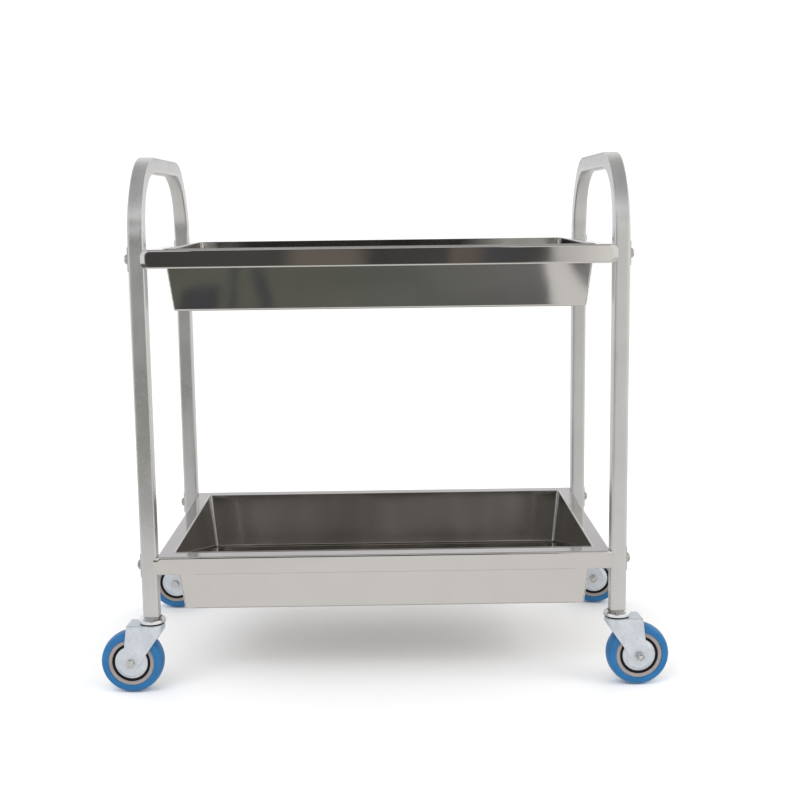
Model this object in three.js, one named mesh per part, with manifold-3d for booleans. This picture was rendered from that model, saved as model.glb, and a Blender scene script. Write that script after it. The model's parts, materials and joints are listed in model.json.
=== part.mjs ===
// Two-shelf instrument cart: two bent-tube side frames, two deep trays, four swivel castors.
// Millimetres, +Z up, X along the length, Y front (-) to back (+), origin on the floor below the middle.
import * as THREE from "three";
import { mergeVertices } from "three/addons/utils/BufferGeometryUtils.js";
import Module from "manifold-3d";

const wasm = await Module();
wasm.setup();

// Driving dimensions of the cart.
const LENGTH = 770; // over the outer faces of the two side frames
const DEPTH = 470; // over the front and rear faces of the legs
const HEIGHT = 850; // floor to the top of the handles
const TUBE = 25; // side of the square tube
const TUBE_WALL = 1.5;
const TUBE_CORNER = 3; // outer corner radius of the tube
const BEND_RADIUS = 130; // outer radius of the handle bends
const LEG_FOOT = 125; // height of the open lower end of each leg
const UPPER_RIM = 706; // height of the upper tray's flange
const LOWER_RIM = 223; // height of the lower tray's flange

// Driving dimensions of a tray.
const SHEET = 1.2; // sheet thickness
const RIM = 28.6; // height of the folded edge
const TRAY_DEPTH = 97; // flange to the underside of the floor
const SIDE_FLANGE = 25.7; // flange width beside the legs
const FRONT_FLANGE = 30; // flange width at the front and rear
const DRAFT = 11; // how far the pan walls lean in from top to bottom
const LIP = 0.8; // height of the bead round the opening
const FIT_GAP = 0.3; // clearance kept between fitted pieces
const TAB_OVERLAP = 6; // how far the front edge reaches over each leg
const TAB_CORNER = 10; // corner radius of the front edge's ends
const HEM = 5; // height of the folded-back hem

// Driving dimensions of the tray fasteners, an M8 bolt through the leg and a nut inside the rim.
const BOLT_RADIUS = 4;
const BOLT_HOLE_RADIUS = 4.3;
const BOLT_HEAD_RADIUS = 8;
const BOLT_HEAD = 6;
const BOLT_BELOW_RIM = 14.3; // bolt axis below the flange
const PLATE = { width: 20, height: 38, thick: 1.5 };
const NUT = { radius: 7.5, thick: 6.5 };
const VENT_RADIUS = 2.25; // vent hole above the upper tray
const VENT_ABOVE_RIM = 7;

// Driving dimensions of a castor, 100 mm wheel.
const WHEEL_RADIUS = 50;
const WHEEL_SEGMENTS = 20;
const TRAIL = 33.7; // swivel axis to axle
const CUP_RADIUS = 21.5;
const STEM_RADIUS = 6;
const PLUG_LENGTH = 40; // square plug inside the foot of the leg
const CUP_FOOT = 114.5;
const CUP_SHOULDER = 119.5; // where the cup's side turns into its cone
const FORK_TOP = 112;
const FORK_BACK = 38; // trailing end of the fork's top
const FORK_FRONT_DEPTH = 5.5; // how far the skirt reaches down at the front
const FORK_SHEET = 2.5;
const FORK_HALF_WIDTH = 20;
const FORK_TIP_RADIUS = 12.5;
const RACE_RADIUS = 16.5;
const RIVET_RADIUS = 9;
const AXLE_RADIUS = 4;
const AXLE_HOLE_RADIUS = 4.3;
const AXLE_HEX_RADIUS = 7.5;
const AXLE_HEX_THICK = 5.3;
const AXLE_TAIL = 28; // how far the axle bolt reaches from the wheel's middle to its threaded end
const TYRE_HALF_WIDTH = 16;
const TYRE_BORE = 37.3;
const CORE_RADIUS = 37;
const CORE_HALF_WIDTH = 14.5;
const RECESS_RADIUS = 31; // recess in the core round the hub
const RECESS_HALF_WIDTH = 11.5;
const HUB_RADIUS = 9;
const HUB_BORE = 4.5;
const HUB_HALF_WIDTH = 15.2;
const COVER_RADIUS = 26.5;
const COVER_FLAT_RADIUS = 21; // flat middle of the dished cover
const COVER_SHEET = 1;
// Resting direction of each castor's trail, in degrees from +X.
const CASTORS = [
  { name: "front_left", side: -1, end: -1, rest: 176 },
  { name: "front_right", side: 1, end: -1, rest: 4 },
  { name: "rear_left", side: -1, end: 1, rest: 176 },
  { name: "rear_right", side: 1, end: 1, rest: -10 },
];

const LEG_X = LENGTH / 2 - TUBE / 2;
const LEG_Y = DEPTH / 2 - TUBE / 2;
const INNER_X = LENGTH / 2 - TUBE; // inner face of a side frame

const finish = (color, roughness, metalness) =>
  new THREE.MeshStandardMaterial({ color, roughness, metalness });
const materials = {
  tube: finish(0xc4c0bb, 0.35, 1),
  sheet: finish(0xb9b6b2, 0.25, 1),
  zinc: finish(0xd8dce2, 0.3, 1),
  chrome: finish(0xe2e4e6, 0.12, 1),
  rubber: finish(0x2878b4, 0.55, 0),
  core: finish(0xa19896, 0.6, 0),
};

const cart = new THREE.Group();

function named(name, geometry, material) {
  const mesh = new THREE.Mesh(geometry, material);
  mesh.name = name;
  return mesh;
}

// A closed geometry as a manifold solid, and back.
function solidOf(geometry) {
  const bare = new THREE.BufferGeometry();
  bare.setAttribute("position", geometry.getAttribute("position").clone());
  bare.setIndex(geometry.index);
  const merged = mergeVertices(bare, 1e-4);
  const vertProperties = new Float32Array(merged.attributes.position.array);
  const triVerts = new Uint32Array(merged.index.array);
  return new wasm.Manifold(new wasm.Mesh({ numProp: 3, vertProperties, triVerts }));
}

function geometryOf(solid) {
  const mesh = solid.getMesh();
  const geometry = new THREE.BufferGeometry();
  const position = new THREE.BufferAttribute(new Float32Array(mesh.vertProperties), 3);
  geometry.setAttribute("position", position);
  geometry.setIndex(new THREE.BufferAttribute(new Uint32Array(mesh.triVerts), 1));
  return geometry;
}

function join(...geometries) {
  const solids = geometries.map(solidOf);
  return geometryOf(solids.reduce((whole, piece) => whole.add(piece)));
}

function cut(geometry, ...tools) {
  const solids = tools.map(solidOf);
  return geometryOf(solids.reduce((rest, tool) => rest.subtract(tool), solidOf(geometry)));
}

// A closed skin through rings of equally many points. The last ring is joined to the first one,
// or both end rings are closed flat.
function loft(rings, endless) {
  const count = rings[0].length;
  const index = [];
  const spans = endless ? rings.length : rings.length - 1;
  for (let i = 0; i < spans; i++) {
    const a = i * count;
    const b = ((i + 1) % rings.length) * count;
    for (let k = 0; k < count; k++) {
      const next = (k + 1) % count;
      index.push(a + k, a + next, b + next, a + k, b + next, b + k);
    }
  }
  if (!endless) {
    const last = (rings.length - 1) * count;
    for (let k = 1; k < count - 1; k++) {
      index.push(0, k + 1, k);
      index.push(last, last + k, last + k + 1);
    }
  }
  const geometry = new THREE.BufferGeometry();
  const position = new THREE.Float32BufferAttribute(rings.flat().flatMap((p) => p.toArray()), 3);
  geometry.setAttribute("position", position);
  geometry.setIndex(index);
  return geometry;
}

// Corner points of a rounded rectangle, counter-clockwise.
function roundedRectangle(halfX, halfY, radius, steps) {
  const points = [];
  for (let corner = 0; corner < 4; corner++) {
    const x = (halfX - radius) * (corner === 0 || corner === 3 ? 1 : -1);
    const y = (halfY - radius) * (corner < 2 ? 1 : -1);
    for (let s = 0; s <= steps; s++) {
      const angle = ((corner + s / steps) * Math.PI) / 2;
      points.push(new THREE.Vector2(x + radius * Math.cos(angle), y + radius * Math.sin(angle)));
    }
  }
  return points;
}

// A cylinder whose axis runs along X, between two X positions.
function rodAlongX(radius, fromX, toX, y, z) {
  const rod = new THREE.CylinderGeometry(radius, radius, Math.abs(toX - fromX), 12);
  rod.rotateZ(Math.PI / 2);
  return rod.translate((fromX + toX) / 2, y, z);
}

// A lathe solid turned about +Z from a profile of [radius, height] points, which either starts and
// ends on the axis or closes on itself.
function turned(profile, segments) {
  const points = profile.map(([radius, height]) => new THREE.Vector2(radius, height));
  if (THREE.ShapeUtils.isClockWise(points)) points.reverse();
  if (points[0].x > 0) points.push(points[0]);
  return new THREE.LatheGeometry(points, segments).rotateX(Math.PI / 2);
}

// A flat outline of THREE.Vector2 points, with round holes, pulled up to a thickness.
function plate(points, thick, holes = []) {
  const shape = new THREE.Shape(points);
  for (const { x, y, radius } of holes)
    shape.holes.push(new THREE.Path().absarc(x, y, radius, 0, 2 * Math.PI, true));
  return new THREE.ExtrudeGeometry(shape, { depth: thick, bevelEnabled: false, curveSegments: 6 });
}

// Side frame: one square tube bent into an upside-down U, open at both feet.
function sideFrame(side) {
  const bend = BEND_RADIUS - TUBE / 2;
  const bendSteps = 10;
  const stations = [{ y: -LEG_Y, z: LEG_FOOT, angle: 0 }];
  for (const [centreY, first] of [[-LEG_Y + bend, 0], [LEG_Y - bend, 1]]) {
    for (let s = 0; s <= bendSteps; s++) {
      const angle = ((first + s / bendSteps) * Math.PI) / 2;
      const y = centreY - bend * Math.cos(angle);
      const z = HEIGHT - TUBE / 2 - bend + bend * Math.sin(angle);
      stations.push({ y, z, angle });
    }
  }
  stations.push({ y: LEG_Y, z: LEG_FOOT, angle: Math.PI });
  // Across the tube, "out" points away from the inside of the U.
  const ringAt = ({ y, z, angle }, half, corner) =>
    roundedRectangle(half, half, corner, 1).map(
      ({ x, y: out }) =>
        new THREE.Vector3(side * LEG_X - x, y - out * Math.cos(angle), z + out * Math.sin(angle)),
    );
  const outer = stations.map((s) => ringAt(s, TUBE / 2, TUBE_CORNER));
  const inner = stations.map((s) => ringAt(s, TUBE / 2 - TUBE_WALL, TUBE_CORNER - TUBE_WALL));
  const skin = loft([...outer, ...inner.reverse()], true);
  const inside = side * (INNER_X - 1);
  const outside = side * (LENGTH / 2 + 1);
  const holes = [];
  for (const end of [-1, 1]) {
    const y = end * LEG_Y;
    for (const rim of [UPPER_RIM, LOWER_RIM])
      holes.push(rodAlongX(BOLT_HOLE_RADIUS, inside, outside, y, rim - BOLT_BELOW_RIM));
    holes.push(rodAlongX(VENT_RADIUS, inside, side * LEG_X, y, UPPER_RIM + VENT_ABOVE_RIM));
  }
  return cut(skin, ...holes);
}

// Tray: a leaning pan, a flange with a bead round the opening, and a rim folded down and hemmed.
// Each ring below is a rounded rectangle; the skin runs over the top face, round the hem and back.
function tray(rim) {
  const skirtX = INNER_X - FIT_GAP;
  const skirtY = DEPTH / 2 + FIT_GAP + SHEET;
  const openingX = skirtX - SIDE_FLANGE;
  const openingY = skirtY - FRONT_FLANGE;
  const floor = rim - TRAY_DEPTH;
  const rimFoot = rim - RIM;
  const fold = 2; // radius of the folds
  const ring = (halfX, halfY, z, corner) =>
    roundedRectangle(halfX, halfY, corner, 2).map(({ x, y }) => new THREE.Vector3(x, y, z));
  const pan = (outset, z, corner = 3) => ring(openingX + outset, openingY + outset, z, corner);
  const skirt = (inset, z, corner = 6) => ring(skirtX - inset, skirtY - inset, z, corner - inset);
  const rings = [
    pan(-DRAFT - 3, floor + SHEET, 1),
    pan(-DRAFT - 1, floor + SHEET + 1),
    pan(-DRAFT, floor + SHEET + 3),
    pan(0, rim, 4),
    pan(0.5, rim + LIP - 0.5, 4),
    pan(1.5, rim + LIP, 5),
    pan(2.5, rim + LIP - 0.5, 6),
    pan(3, rim, 6),
    skirt(fold, rim, 6),
    skirt(fold * 0.3, rim - fold * 0.3),
    skirt(0, rim - fold),
    skirt(0, rimFoot + SHEET),
    skirt(SHEET, rimFoot),
    skirt(2 * SHEET, rimFoot + SHEET),
    skirt(2 * SHEET, rimFoot + HEM),
    skirt(SHEET, rimFoot + HEM + SHEET),
    skirt(SHEET, rim - fold - 0.2),
    skirt(fold + 0.2, rim - SHEET, 6.2),
    pan(2.6, rim - SHEET, 6),
    pan(SHEET, rim - 2 * SHEET, 4),
    pan(SHEET - DRAFT, floor + 3, 4),
    pan(SHEET - DRAFT - 1, floor + 1, 4),
    pan(-DRAFT - 3, floor, 1),
  ];
  const body = loft(rings.reverse(), false);
  const tab = roundedRectangle(INNER_X + TAB_OVERLAP, RIM / 2, TAB_CORNER, 3);
  const fronts = [-1, 1].map((end) => {
    const edge = plate(tab, SHEET - 0.2).rotateX(Math.PI / 2);
    return edge.translate(0, end * (skirtY - SHEET / 2) + (SHEET - 0.2) / 2, rimFoot + RIM / 2);
  });
  const holes = [];
  for (const side of [-1, 1]) {
    const inside = side * (skirtX - 4);
    const outside = side * (skirtX + 1);
    for (const end of [-1, 1])
      holes.push(rodAlongX(BOLT_HOLE_RADIUS, inside, outside, end * LEG_Y, rim - BOLT_BELOW_RIM));
  }
  return cut(join(body, ...fronts), ...holes);
}

// Tray bolt, its shank along +X and its domed head at the outer end.
function trayBolt() {
  const inner = INNER_X - FIT_GAP - SHEET - NUT.thick - 2;
  const seat = LENGTH / 2 + PLATE.thick + 0.1;
  const dome = 3; // steps over the domed head
  const profile = [[0, inner], [BOLT_RADIUS, inner], [BOLT_RADIUS, seat], [BOLT_HEAD_RADIUS, seat]];
  for (let s = 1; s < dome; s++) {
    const angle = (s / dome) * (Math.PI / 2);
    profile.push([BOLT_HEAD_RADIUS * Math.cos(angle), seat + 1 + (BOLT_HEAD - 1) * Math.sin(angle)]);
  }
  profile.push([0, seat + BOLT_HEAD]);
  return turned(profile, 12).rotateY(Math.PI / 2);
}

// Saddle plate under the bolt head, flat on the outer face of the leg.
function saddlePlate() {
  const outline = roundedRectangle(PLATE.width / 2, PLATE.height / 2, 2, 1);
  const flat = plate(outline, PLATE.thick, [{ x: 0, y: 0, radius: BOLT_HOLE_RADIUS }]);
  return flat.rotateZ(Math.PI / 2).rotateY(Math.PI / 2).translate(LENGTH / 2 + 0.05, 0, 0);
}

function hexagon(radius) {
  return [0, 1, 2, 3, 4, 5].map((k) => {
    const angle = (k * Math.PI) / 3;
    return new THREE.Vector2(radius * Math.cos(angle), radius * Math.sin(angle));
  });
}

function trayNut() {
  const hole = [{ x: 0, y: 0, radius: BOLT_HOLE_RADIUS }];
  const nut = plate(hexagon(NUT.radius), NUT.thick, hole);
  return nut.rotateY(Math.PI / 2).translate(INNER_X - FIT_GAP - SHEET - 0.1 - NUT.thick, 0, 0);
}

// Swivel head: the upper race cup, the riveted kingpin below it and the square plug in the leg.
function swivelHead() {
  const seat = LEG_FOOT - 0.1;
  const rivetTop = FORK_TOP - FORK_SHEET - FIT_GAP;
  const cup = turned(
    [[0, rivetTop - 4], [RIVET_RADIUS, rivetTop - 4], [RIVET_RADIUS, rivetTop],
      [STEM_RADIUS, rivetTop], [STEM_RADIUS, CUP_FOOT], [CUP_RADIUS - 1, CUP_FOOT],
      [CUP_RADIUS, CUP_FOOT + 1], [CUP_RADIUS, CUP_SHOULDER], [TUBE / 2 + 1, seat], [0, seat]],
    WHEEL_SEGMENTS,
  );
  const half = TUBE / 2 - TUBE_WALL - FIT_GAP;
  const plug = plate(roundedRectangle(half, half, 2, 1), PLUG_LENGTH);
  plug.translate(0, 0, LEG_FOOT - 2);
  return join(cup, plug);
}

// One level of the fork's channel seen from above: open at the back, round at the front.
function channelRing(inset, z, back) {
  const radius = FORK_HALF_WIDTH - inset;
  const ring = [new THREE.Vector3(back, -radius, z), new THREE.Vector3(back, radius, z)];
  const steps = 12;
  for (let s = 0; s <= steps; s++) {
    const angle = Math.PI / 2 + (Math.PI * s) / steps;
    ring.push(new THREE.Vector3(radius * Math.cos(angle), radius * Math.sin(angle), z));
  }
  return ring;
}

// Side view of the fork: cheeks that narrow down to a round tip about the axle.
function forkProfile(axle) {
  const backTop = new THREE.Vector2(FORK_BACK, FORK_TOP);
  const frontLow = new THREE.Vector2(-FORK_HALF_WIDTH - 1, FORK_TOP - FORK_FRONT_DEPTH);
  // Angle, seen from the axle, of the point where a line from an outside point touches the tip.
  const touch = (from, turn) => {
    const reach = from.clone().sub(axle);
    return reach.angle() + turn * Math.acos(FORK_TIP_RADIUS / reach.length());
  };
  const first = touch(frontLow, 1);
  const last = touch(backTop, -1) + 2 * Math.PI;
  const outline = [frontLow];
  const tipSteps = 8;
  for (let s = 0; s <= tipSteps; s++) {
    const angle = first + ((last - first) * s) / tipSteps;
    const tip = new THREE.Vector2(Math.cos(angle), Math.sin(angle)).multiplyScalar(FORK_TIP_RADIUS);
    outline.push(tip.add(axle));
  }
  outline.push(backTop, new THREE.Vector2(FORK_BACK - 1, FORK_TOP + 1));
  outline.push(new THREE.Vector2(-FORK_HALF_WIDTH - 1, FORK_TOP + 1));
  return outline;
}

// Fork in its own frame: swivel axis on Z, trail along +X, axle along Y. It is a pressed channel
// cut to the side view of its cheeks, with the lower race raised on its top.
function fork() {
  const axle = new THREE.Vector2(TRAIL, WHEEL_RADIUS);
  const low = WHEEL_RADIUS - FORK_TIP_RADIUS - 1;
  const beyond = FORK_BACK + 20;
  const outside = loft(
    [channelRing(0, low, beyond), channelRing(0, FORK_TOP - 2, beyond),
      channelRing(0.6, FORK_TOP - 0.6, beyond), channelRing(2, FORK_TOP, beyond)],
    false,
  );
  const inside = loft(
    [channelRing(FORK_SHEET, low - 1, beyond + 1),
      channelRing(FORK_SHEET, FORK_TOP - FORK_SHEET, beyond + 1)],
    false,
  );
  const sideView = plate(forkProfile(axle), 2 * FORK_HALF_WIDTH + 2).rotateX(Math.PI / 2);
  sideView.translate(0, FORK_HALF_WIDTH + 1, 0);
  const body = solidOf(outside).subtract(solidOf(inside)).intersect(solidOf(sideView));
  const race = turned(
    [[0, FORK_TOP - 1], [RACE_RADIUS, FORK_TOP - 1], [RACE_RADIUS, CUP_FOOT - FIT_GAP],
      [0, CUP_FOOT - FIT_GAP]],
    WHEEL_SEGMENTS,
  );
  const pinHole = new THREE.CylinderGeometry(STEM_RADIUS + FIT_GAP, STEM_RADIUS + FIT_GAP, 40, 12);
  pinHole.rotateX(Math.PI / 2).translate(0, 0, FORK_TOP);
  const axleHole = new THREE.CylinderGeometry(AXLE_HOLE_RADIUS, AXLE_HOLE_RADIUS, 50, 12);
  axleHole.translate(axle.x, 0, axle.y);
  return cut(join(geometryOf(body), race), pinHole, axleHole);
}

// Wheel parts, turned about Z here and laid over so that the axle runs along Y.
function mirrored(half) {
  const back = half.map(([radius, height]) => [radius, -height]).reverse();
  return [...back, ...half];
}

const acrossFork = (geometry) =>
  geometry.rotateZ(Math.PI / WHEEL_SEGMENTS).rotateX(-Math.PI / 2);

function tyre() {
  // The tread is faceted, and its flats touch the floor.
  const tread = WHEEL_RADIUS / Math.cos(Math.PI / WHEEL_SEGMENTS);
  const half = [
    [tread, TYRE_HALF_WIDTH - 12],
    [tread - 1.4, TYRE_HALF_WIDTH - 5],
    [tread - 5, TYRE_HALF_WIDTH],
    [TYRE_BORE, TYRE_HALF_WIDTH - 0.5],
  ];
  return acrossFork(turned(mirrored(half), WHEEL_SEGMENTS));
}

function wheelCore() {
  const half = [
    [CORE_RADIUS, CORE_HALF_WIDTH],
    [RECESS_RADIUS, CORE_HALF_WIDTH],
    [RECESS_RADIUS - 1, RECESS_HALF_WIDTH],
    [HUB_RADIUS, RECESS_HALF_WIDTH],
    [HUB_RADIUS, HUB_HALF_WIDTH],
    [HUB_BORE, HUB_HALF_WIDTH],
  ];
  return acrossFork(turned(mirrored(half), WHEEL_SEGMENTS));
}

function dustCover(side) {
  const bore = HUB_BORE + 0.1;
  const seat = HUB_HALF_WIDTH + FIT_GAP; // inner face of the cover's flat middle
  const half = [
    [bore, seat],
    [COVER_FLAT_RADIUS - 0.4, seat],
    [COVER_RADIUS - 1.1, seat - 3.3],
    [COVER_RADIUS, seat - 2.5],
    [COVER_FLAT_RADIUS, seat + COVER_SHEET],
    [bore, seat + COVER_SHEET],
  ];
  const facing = half.map(([radius, height]) => [radius, side * height]);
  return acrossFork(turned(facing, WHEEL_SEGMENTS));
}

function axleBolt() {
  const head = FORK_HALF_WIDTH + 0.1;
  const shank = new THREE.CylinderGeometry(AXLE_RADIUS, AXLE_RADIUS, head + AXLE_TAIL, 12);
  shank.translate(0, (head - AXLE_TAIL) / 2 + 0.5, 0);
  const hex = plate(hexagon(AXLE_HEX_RADIUS), AXLE_HEX_THICK).rotateX(-Math.PI / 2);
  return join(shank, hex.translate(0, head, 0));
}

function axleNut() {
  const hole = [{ x: 0, y: 0, radius: AXLE_HOLE_RADIUS }];
  const nut = plate(hexagon(AXLE_HEX_RADIUS), NUT.thick, hole).rotateX(Math.PI / 2);
  return nut.translate(0, -FORK_HALF_WIDTH - 0.1, 0);
}

function addCastor({ name, side, end, rest }) {
  const castor = new THREE.Group();
  castor.position.set(side * LEG_X, end * LEG_Y, 0);
  castor.add(named(`${name}_swivel_head`, swivelHead(), materials.chrome));
  const turning = new THREE.Group();
  turning.rotation.z = THREE.MathUtils.degToRad(rest);
  turning.add(named(`${name}_fork`, fork(), materials.zinc));
  const wheel = new THREE.Group();
  wheel.position.set(TRAIL, 0, WHEEL_RADIUS);
  wheel.add(named(`${name}_axle_bolt`, axleBolt(), materials.zinc));
  wheel.add(named(`${name}_axle_nut`, axleNut(), materials.zinc));
  wheel.add(named(`${name}_wheel_core`, wheelCore(), materials.core));
  wheel.add(named(`${name}_tyre`, tyre(), materials.rubber));
  wheel.add(named(`${name}_dust_cover_a`, dustCover(1), materials.zinc));
  wheel.add(named(`${name}_dust_cover_b`, dustCover(-1), materials.zinc));
  turning.add(wheel);
  castor.add(turning);
  cart.add(castor);
}

function addTrayFasteners(level, rim) {
  for (const { name, side, end } of CASTORS) {
    const joint = new THREE.Group();
    joint.position.set(0, end * LEG_Y, rim - BOLT_BELOW_RIM);
    joint.rotation.z = side < 0 ? Math.PI : 0;
    joint.add(named(`${level}_${name}_bolt`, trayBolt(), materials.zinc));
    joint.add(named(`${level}_${name}_saddle_plate`, saddlePlate(), materials.tube));
    joint.add(named(`${level}_${name}_nut`, trayNut(), materials.zinc));
    cart.add(joint);
  }
}

cart.add(named("left_side_frame", sideFrame(-1), materials.tube));
cart.add(named("right_side_frame", sideFrame(1), materials.tube));
cart.add(named("upper_tray", tray(UPPER_RIM), materials.sheet));
cart.add(named("lower_tray", tray(LOWER_RIM), materials.sheet));
addTrayFasteners("upper", UPPER_RIM);
addTrayFasteners("lower", LOWER_RIM);
CASTORS.forEach(addCastor);

export default cart;
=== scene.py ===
import json
import math

import bmesh
import bpy
from mathutils import Matrix, Vector


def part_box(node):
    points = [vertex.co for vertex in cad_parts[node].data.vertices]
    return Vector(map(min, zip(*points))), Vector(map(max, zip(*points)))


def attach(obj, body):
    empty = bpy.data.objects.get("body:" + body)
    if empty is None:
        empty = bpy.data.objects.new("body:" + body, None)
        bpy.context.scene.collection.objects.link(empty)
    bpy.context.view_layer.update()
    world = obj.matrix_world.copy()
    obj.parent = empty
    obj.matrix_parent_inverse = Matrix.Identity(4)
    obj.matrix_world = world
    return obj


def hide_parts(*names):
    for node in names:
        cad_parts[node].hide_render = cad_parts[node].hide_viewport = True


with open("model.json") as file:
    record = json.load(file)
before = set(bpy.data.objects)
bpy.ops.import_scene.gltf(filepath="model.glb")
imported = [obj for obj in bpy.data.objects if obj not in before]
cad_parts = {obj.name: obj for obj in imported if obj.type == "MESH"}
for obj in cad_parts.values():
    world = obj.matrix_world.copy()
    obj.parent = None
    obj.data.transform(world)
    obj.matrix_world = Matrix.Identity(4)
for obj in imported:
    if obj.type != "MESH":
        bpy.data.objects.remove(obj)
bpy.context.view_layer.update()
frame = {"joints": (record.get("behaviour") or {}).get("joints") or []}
joints = {joint["name"]: joint for joint in frame["joints"]}

# An instrument cart: two deep steel trays hang between two bent square-tube side frames, on four
# swivel castors. All sizes are in metres. Places come from the CAD nodes and joints.

SIDES = {"left": -1, "right": 1}
CORNERS = {"front_left": -1, "front_right": 1, "rear_left": -1, "rear_right": 1}  # and their sides

# Side frame.
TUBE_WALL = 0.0015
TUBE_CORNER = 0.003
BEND_RADIUS = 0.130  # outside of the handle bends
BEND_DIMPLE = 0.0014  # how far the outer wall sinks in a bend
BEND_WAIST = 0.0011  # how far each side wall draws in there
BEND_RIPPLE = 0.0002  # wrinkles of the inner wall
BEND_STEPS = 36
BOLT_HOLE = 0.0043
VENT_HOLE = 0.00225
VENT_ABOVE_RIM = 0.007

# Trays.
SHEET = 0.0012
LIP = 0.0008  # height of the bead round the opening
RIM = 0.0286
HEM = 0.005
SIDE_FLANGE = 0.0257
FRONT_FLANGE = 0.030
DRAFT = 0.011
GAP = 0.0003
TAB_CORNER = 0.010  # corner radius of the front and rear edges' ends
FOLD = 0.002
WELD_RADIUS = 0.0014

# Castors, each in its own frame: swivel axis on Z, trail along +X, axle along Y.
CUP_RADIUS = 0.0215
CUP_SHOULDER = 0.005  # height of the cup's straight side
STEM_RADIUS = 0.006
FORK_BACK = 0.038
FORK_FRONT_DEPTH = 0.0055
FORK_SHEET = 0.0025
FORK_HALF = 0.020
FORK_TIP = 0.0125
FORK_FOLD = 0.003
RACE_RADIUS = 0.0188  # its ring is coloured near-black as painted shade for the gap under the cup
RIVET_RADIUS = 0.009
PLUG_HALF = 0.0107  # of the square plug in the leg
AXLE_RADIUS = 0.004
AXLE_TIP = 0.028  # from the wheel's middle to the threaded end
AXLE_THREAD = 0.018  # where its thread starts
AXLE_HEAD = 0.0053
AXLE_NUT = 0.0065
HEX_RADIUS = 0.0075
THREAD_DEPTH = 0.00055

# Wheels: radii, and half widths from the middle plane.
TYRE_RADIUS = 0.050
TYRE_HALF = 0.016
TYRE_BORE = 0.0373
SHOULDER_HALF = 0.0105  # where the round shoulder meets the tread
CORE_RADIUS = 0.037
CORE_HALF = 0.0145
RECESS_RADIUS = 0.031
RECESS_HALF = 0.0115
HUB_RADIUS = 0.009
HUB_HALF = 0.0152
HUB_BORE = 0.0045
COVER_RADIUS = 0.0264
COVER_FACE = 0.0165  # outer face of the dust cover's flat middle
COVER_SHEET = 0.001


# ---------------------------------------------------------------- camera
def add_camera():
    """The photograph's camera: a 58 mm lens at 2.2 m, a little above the upper tray."""
    yaw, pitch, roll = -0.0082, -0.1471, 0.0127
    place = (0.0122, -2.2212, 0.7635)
    level = Matrix.Rotation(yaw, 3, "Z") @ Matrix.Rotation(pitch, 3, "X")
    axes = level @ Matrix.Rotation(roll, 3, "Y")
    right, forward, up = axes.col
    data = bpy.data.cameras.new("camera")
    data.sensor_width = 36.0
    data.lens = 58.09
    camera = bpy.data.objects.new("camera", data)
    turned_axes = Matrix((right, up, -forward)).transposed().to_4x4()
    camera.matrix_world = Matrix.Translation(place) @ turned_axes
    bpy.context.scene.collection.objects.link(camera)
    bpy.context.scene.camera = camera


# ---------------------------------------------------------------- materials
class Finish:
    """A material's node tree, with short ways to add the procedural parts."""

    def __init__(self, name, **constants):
        self.material = bpy.data.materials.new(name)
        self.material.use_nodes = True
        self.tree = self.material.node_tree
        self.shader = self.tree.nodes["Principled BSDF"]
        for socket, value in constants.items():
            self.shader.inputs[socket.replace("_", " ")].default_value = value
        coordinates = self.tree.nodes.new("ShaderNodeTexCoord")
        self.place = coordinates.outputs["Object"]

    def link(self, value, socket):
        if isinstance(value, bpy.types.NodeSocket):
            self.tree.links.new(value, socket)
        else:
            socket.default_value = value

    def noise(self, scale, stretch=(1, 1, 1), detail=4.0, rough=0.55, distortion=0.0):
        """Noise over the object's own space, from 0 to 1, squeezed along each axis by stretch."""
        mapping = self.tree.nodes.new("ShaderNodeMapping")
        mapping.inputs["Scale"].default_value = stretch
        self.tree.links.new(self.place, mapping.inputs["Vector"])
        texture = self.tree.nodes.new("ShaderNodeTexNoise")
        self.tree.links.new(mapping.outputs["Vector"], texture.inputs["Vector"])
        texture.inputs["Scale"].default_value = scale
        texture.inputs["Detail"].default_value = detail
        texture.inputs["Roughness"].default_value = rough
        texture.inputs["Distortion"].default_value = distortion
        return texture.outputs["Fac"]

    def map(self, value, low, high, to_low=0.0, to_high=1.0):
        node = self.tree.nodes.new("ShaderNodeMapRange")
        self.link(value, node.inputs["Value"])
        for socket, number in zip(("From Min", "From Max", "To Min", "To Max"),
                                  (low, high, to_low, to_high)):
            node.inputs[socket].default_value = number
        return node.outputs["Result"]

    def math(self, operation, first, second):
        node = self.tree.nodes.new("ShaderNodeMath")
        node.operation = operation
        self.link(first, node.inputs[0])
        self.link(second, node.inputs[1])
        return node.outputs["Value"]

    def mix(self, factor, first, second):
        """A colour between two colours."""
        node = self.tree.nodes.new("ShaderNodeMix")
        node.data_type = "RGBA"
        self.link(factor, node.inputs["Factor"])
        colour_a, colour_b = [s for s in node.inputs if s.type == "RGBA"]
        for socket, colour in ((colour_a, first), (colour_b, second)):
            self.link((*colour, 1.0) if isinstance(colour, tuple) else colour, socket)
        return next(s for s in node.outputs if s.type == "RGBA")

    def bump(self, height, depth, below=None):
        """A bump of real depth in metres, laid over another bump's normal."""
        node = self.tree.nodes.new("ShaderNodeBump")
        node.inputs["Strength"].default_value = 1.0
        node.inputs["Distance"].default_value = depth
        self.link(height, node.inputs["Height"])
        if below:
            self.tree.links.new(below, node.inputs["Normal"])
        return node.outputs["Normal"]

    def colour(self, value):
        self.link(value, self.shader.inputs["Base Color"])

    def roughness(self, value):
        self.link(value, self.shader.inputs["Roughness"])

    def normal(self, value):
        self.link(value, self.shader.inputs["Normal"])


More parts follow.
